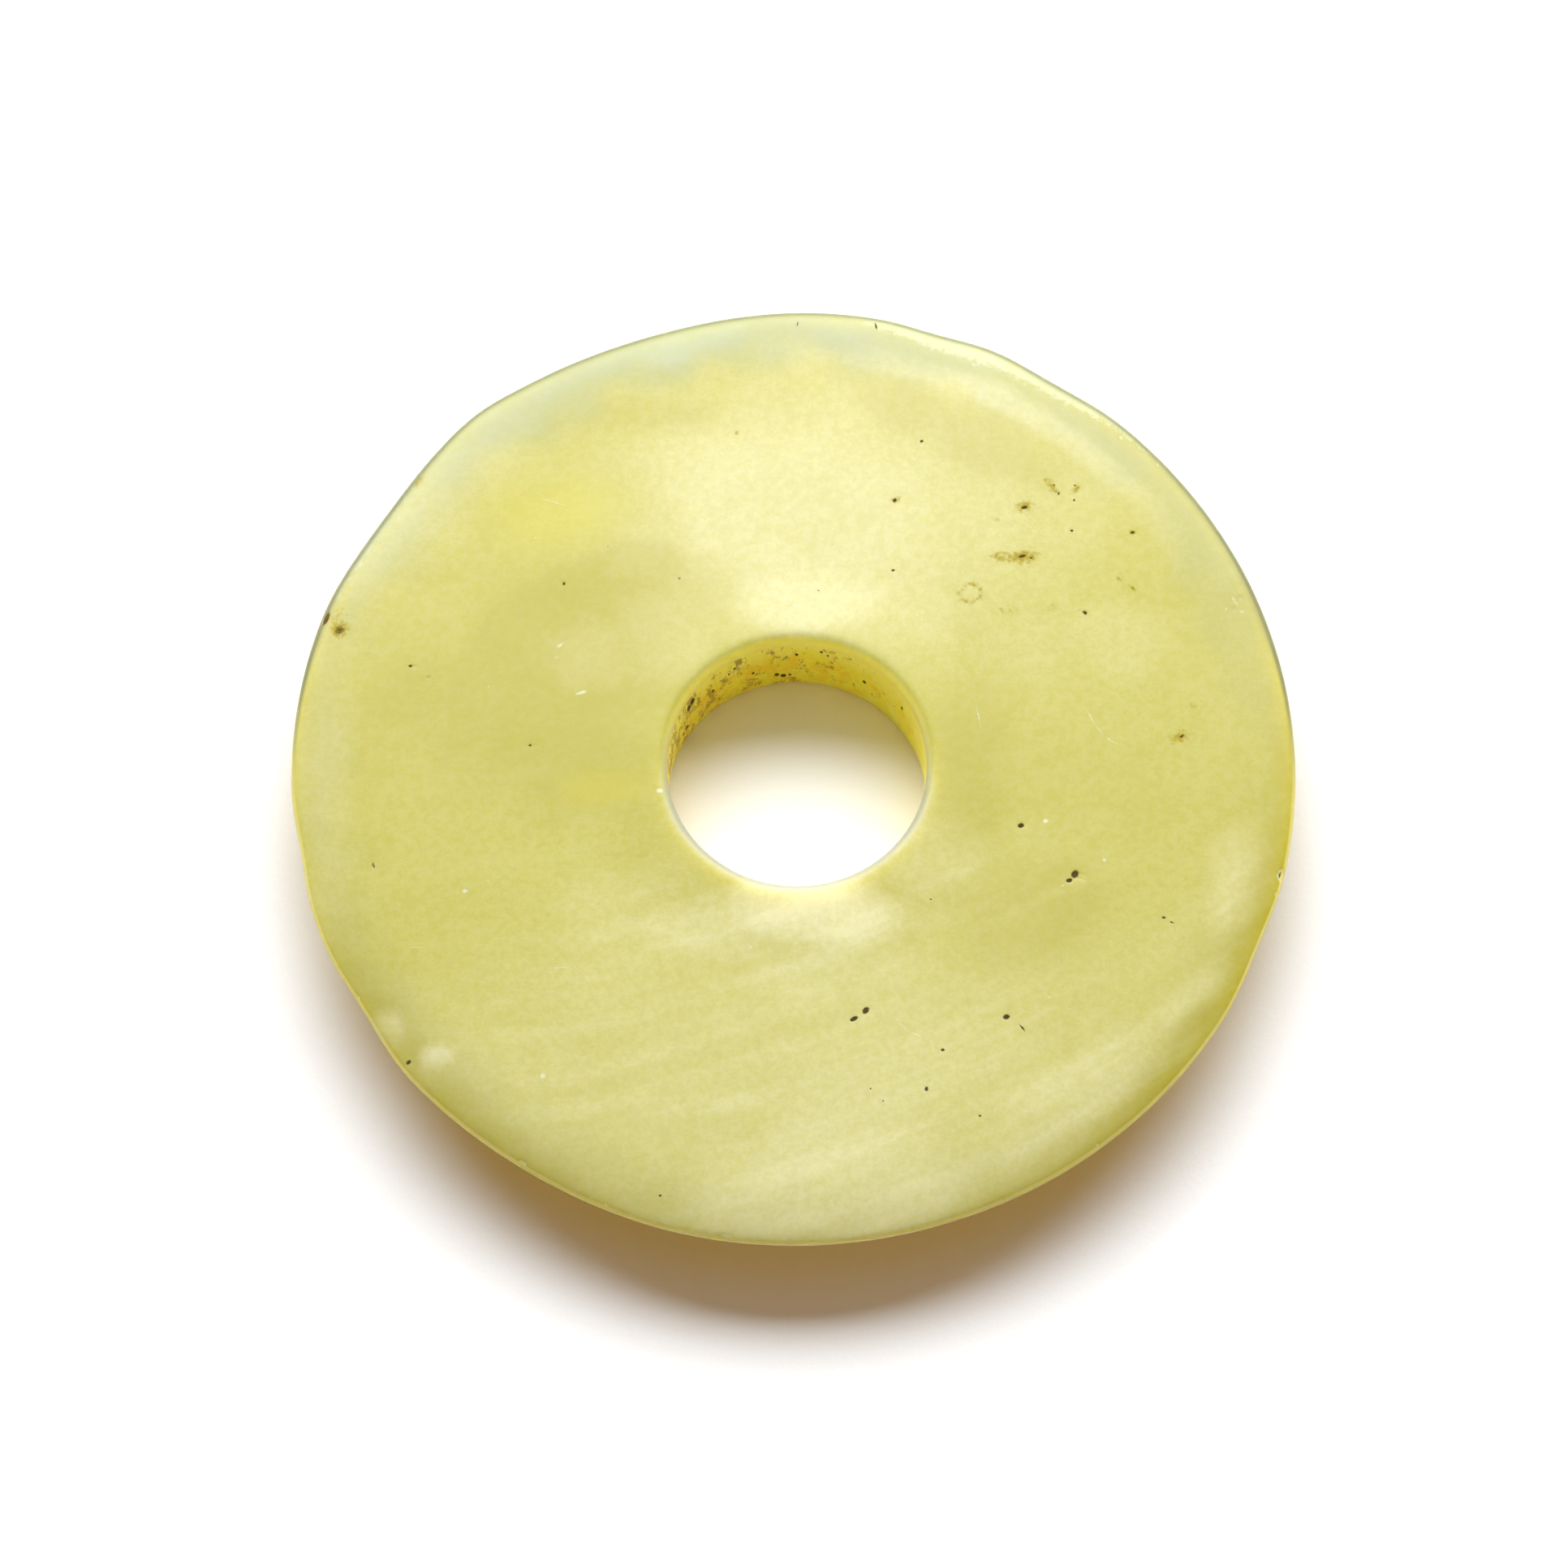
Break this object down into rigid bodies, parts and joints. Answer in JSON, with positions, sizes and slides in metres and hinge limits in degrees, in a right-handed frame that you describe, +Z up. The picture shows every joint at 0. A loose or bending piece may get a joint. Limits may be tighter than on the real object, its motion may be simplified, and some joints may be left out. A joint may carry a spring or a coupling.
{
  "type": "jade bi disc",
  "caption": "Plain polished disc of translucent yellow-green jade, thickest about its round central hole and thinning to a worn rim.",
  "frame": {"origin": "where the axis of the hole meets the surface that the disc lies on, at the centre of the underside", "axes": "+Z up along the axis of the hole, out of the upper face; +Y towards the far side of the disc, +X to the right"},
  "size_m": [0.0551, 0.0551, 0.0064],
  "materials": {
    "jade": "satin"
  },
  "bodies": {
    "root": {"jade_disc": "jade"}
  },
  "joints": []
}
